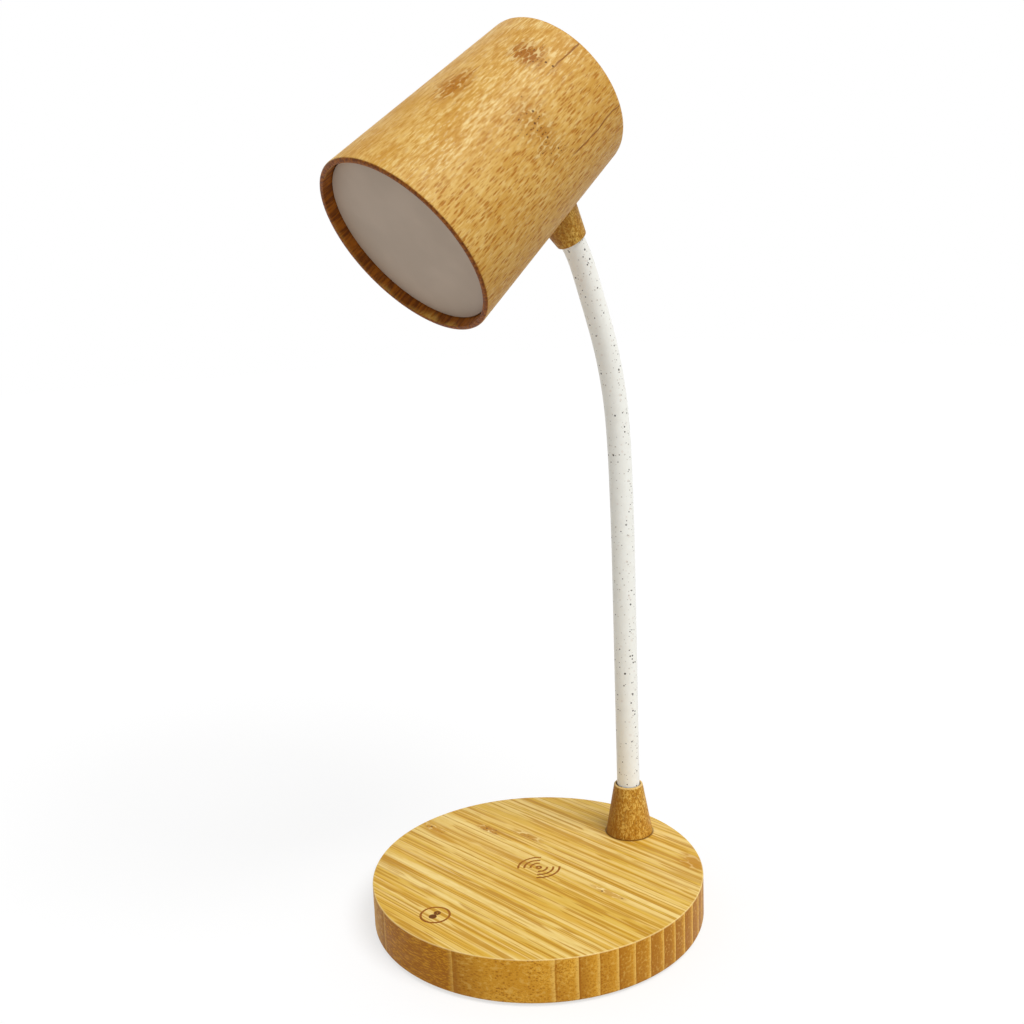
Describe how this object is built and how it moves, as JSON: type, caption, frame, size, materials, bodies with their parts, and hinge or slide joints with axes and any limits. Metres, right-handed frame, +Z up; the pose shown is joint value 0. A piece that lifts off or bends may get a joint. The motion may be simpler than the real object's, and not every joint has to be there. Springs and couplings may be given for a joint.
{
  "type": "desk lamp with wireless charger",
  "caption": "Bamboo desk lamp: a tapered drum head with a round diffuser on a bendable neck, over a flat round base that charges a phone laid on it.",
  "frame": {"origin": "centre of the base's underside, on the table", "axes": "+Z up; -Y is the front, where the touch mark is and the head shines; the neck stands at +Y; +X is to the right of someone facing the back"},
  "size_m": [0.13, 0.1338, 0.3354],
  "materials": {
    "bamboo_base": "oiled laminated bamboo, strips side by side",
    "bamboo_collar": "turned bamboo, oiled",
    "bamboo_head": "turned bamboo, oiled",
    "neck_rubber": "soft matt sleeve, pale with fine dark specks",
    "core_steel": "wound spring steel",
    "stud_steel": "zinc plated",
    "weight_steel": "plain rolled plate",
    "cover_plastic": "fine moulded grain",
    "foot_rubber": "closed-cell non-slip pad",
    "screw_steel": "zinc plated",
    "board_laminate": "green solder mask",
    "component_black": "moulded epoxy",
    "contact_brass": "bright strip",
    "coil_copper": "lacquered copper wire",
    "ferrite_grey": "sintered sheet",
    "socket_steel": "stamped shell",
    "diffuser_opal": "opal, fine matt",
    "reflector_white": "smooth white",
    "led_board_white": "white solder mask on aluminium",
    "led_phosphor": "phosphor under clear resin",
    "sink_aluminium": "extruded, plain",
    "lead_jacket": "thin round jacket"
  },
  "bodies": {
    "base": {"base_block": "bamboo_base", "bottom_cover": "cover_plastic", "cover_screws": "screw_steel", "foot_pad": "foot_rubber", "weight_plate": "weight_steel", "charging_coil": "coil_copper", "ferrite_sheet": "ferrite_grey", "charger_board": "board_laminate", "board_standoffs": "contact_brass", "board_screws": "screw_steel", "board_parts": "component_black", "usb_socket": "socket_steel", "usb_tongue": "component_black", "touch_pad": "coil_copper", "touch_contact": "contact_brass", "lower_collar": "bamboo_collar", "lower_stud": "stud_steel", "lower_washer": "stud_steel", "lower_nut": "stud_steel", "neck_core_base": "core_steel", "neck_sleeve": "neck_rubber", "led_lead": "lead_jacket"},
    "neck_01": {"neck_core_01": "core_steel"},
    "neck_02": {"neck_core_02": "core_steel"},
    "neck_03": {"neck_core_03": "core_steel"},
    "neck_04": {"neck_core_04": "core_steel"},
    "neck_05": {"neck_core_05": "core_steel"},
    "neck_06": {"neck_core_06": "core_steel"},
    "neck_07": {"neck_core_07": "core_steel"},
    "neck_08": {"neck_core_08": "core_steel"},
    "neck_09": {"neck_core_09": "core_steel"},
    "neck_10": {"neck_core_10": "core_steel"},
    "neck_11": {"neck_core_11": "core_steel"},
    "head": {"neck_core_head": "core_steel", "upper_collar": "bamboo_collar", "upper_stud": "stud_steel", "upper_washer": "stud_steel", "upper_nut": "stud_steel", "head_shell": "bamboo_head", "diffuser": "diffuser_opal", "reflector": "reflector_white", "led_board": "led_board_white", "leds": "led_phosphor", "led_screws": "screw_steel", "heat_sink": "sink_aluminium", "sink_screws": "screw_steel"}
  },
  "joints": [
    {"name": "bend_01", "type": "hinge", "parent": "base", "child": "neck_01", "pos_m": [0, 0.049, 0.0452], "axis": [1, 0, 0], "range_deg": [-11, 9], "deforming": ["neck_sleeve", "led_lead"]},
    {"name": "sway_02", "type": "hinge", "parent": "neck_01", "child": "neck_02", "pos_m": [0, 0.049, 0.0646], "axis": [0, 1, 0], "range_deg": [-9, 9], "deforming": ["neck_sleeve", "led_lead"]},
    {"name": "bend_03", "type": "hinge", "parent": "neck_02", "child": "neck_03", "pos_m": [0, 0.049, 0.084], "axis": [1, 0, 0], "range_deg": [-11, 9], "deforming": ["neck_sleeve", "led_lead"]},
    {"name": "sway_04", "type": "hinge", "parent": "neck_03", "child": "neck_04", "pos_m": [0, 0.049, 0.1034], "axis": [0, 1, 0], "range_deg": [-9, 9], "deforming": ["neck_sleeve", "led_lead"]},
    {"name": "bend_05", "type": "hinge", "parent": "neck_04", "child": "neck_05", "pos_m": [0, 0.049, 0.1228], "axis": [1, 0, 0], "range_deg": [-11, 9], "deforming": ["neck_sleeve", "led_lead"]},
    {"name": "sway_06", "type": "hinge", "parent": "neck_05", "child": "neck_06", "pos_m": [0, 0.049, 0.1422], "axis": [0, 1, 0.0087], "range_deg": [-9, 9], "deforming": ["neck_sleeve", "led_lead"]},
    {"name": "bend_07", "type": "hinge", "parent": "neck_06", "child": "neck_07", "pos_m": [0, 0.04866, 0.1616], "axis": [1, 0, 0], "range_deg": [-11, 9], "deforming": ["neck_sleeve", "led_lead"]},
    {"name": "sway_08", "type": "hinge", "parent": "neck_07", "child": "neck_08", "pos_m": [0, 0.04815, 0.18099], "axis": [0, 0.9986, 0.0523], "range_deg": [-9, 9], "deforming": ["neck_sleeve", "led_lead"]},
    {"name": "bend_09", "type": "hinge", "parent": "neck_08", "child": "neck_09", "pos_m": [0, 0.04663, 0.20033], "axis": [1, 0, 0], "range_deg": [-11, 9], "deforming": ["neck_sleeve", "led_lead"]},
    {"name": "sway_10", "type": "hinge", "parent": "neck_09", "child": "neck_10", "pos_m": [0, 0.04276, 0.21934], "axis": [0, 0.9659, 0.2588], "range_deg": [-9, 9], "deforming": ["neck_sleeve", "led_lead"]},
    {"name": "bend_11", "type": "hinge", "parent": "neck_10", "child": "neck_11", "pos_m": [0, 0.03661, 0.23774], "axis": [1, 0, 0], "range_deg": [-11, 9], "deforming": ["neck_sleeve", "led_lead"]},
    {"name": "sway_12", "type": "hinge", "parent": "neck_11", "child": "head", "pos_m": [0, 0.03013, 0.25603], "axis": [0, 0.889, 0.4579], "range_deg": [-9, 9], "deforming": ["neck_sleeve", "led_lead"]}
  ]
}
